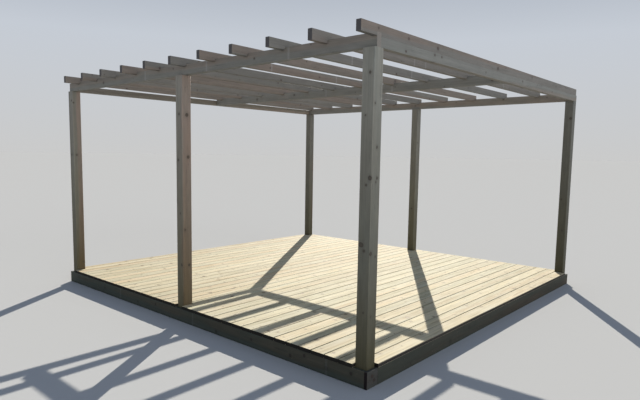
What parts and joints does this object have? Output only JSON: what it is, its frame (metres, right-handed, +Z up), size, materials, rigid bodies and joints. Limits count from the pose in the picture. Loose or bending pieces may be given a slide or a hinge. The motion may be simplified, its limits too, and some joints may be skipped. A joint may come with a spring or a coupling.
{
  "type": "wooden pergola with deck",
  "caption": "Timber garden pergola: square posts carry beams and an open roof of notched rafters with overhanging tails, over a low boarded deck.",
  "frame": {"origin": "on the ground, at the centre of the plan outline (line of the rafter tails at the front, deck edges on the other sides)", "axes": "+Z up, -Y the front where the rafter tails overhang, +X the right side where the first rafter lies on the side beam"},
  "size_m": [4.307, 4.323, 2.35],
  "materials": {
    "deck": "new pressure-treated softwood boards, pale yellow",
    "post": "planed pressure-treated softwood, olive brown with knots",
    "beam": "planed pressure-treated softwood, grey brown",
    "rafter": "planed pressure-treated softwood, grey brown",
    "fascia": "planed pressure-treated softwood, grey green",
    "frame": "sawn pressure-treated softwood"
  },
  "bodies": {
    "root": {"post_front_right": "post", "post_front_middle": "post", "post_front_left": "post", "post_back_right": "post", "post_back_middle": "post", "post_back_left": "post", "beam_front": "beam", "beam_back": "beam", "beam_middle": "beam", "beam_right": "beam", "beam_left": "beam", "rafter_01": "rafter", "rafter_02": "rafter", "rafter_03": "rafter", "rafter_04": "rafter", "rafter_05": "rafter", "rafter_06": "rafter", "rafter_07": "rafter", "rafter_08": "rafter", "rafter_09": "rafter", "rafter_10": "rafter", "rafter_11": "rafter", "fascia_front": "fascia", "fascia_right": "fascia", "fascia_corner_block": "fascia", "fascia_left": "fascia", "fascia_back": "fascia", "edge_joist_right": "frame", "edge_joist_left": "frame", "edge_joists_front": "frame", "edge_joists_back": "frame", "joists": "frame", "deck_boards": "deck"}
  },
  "joints": []
}
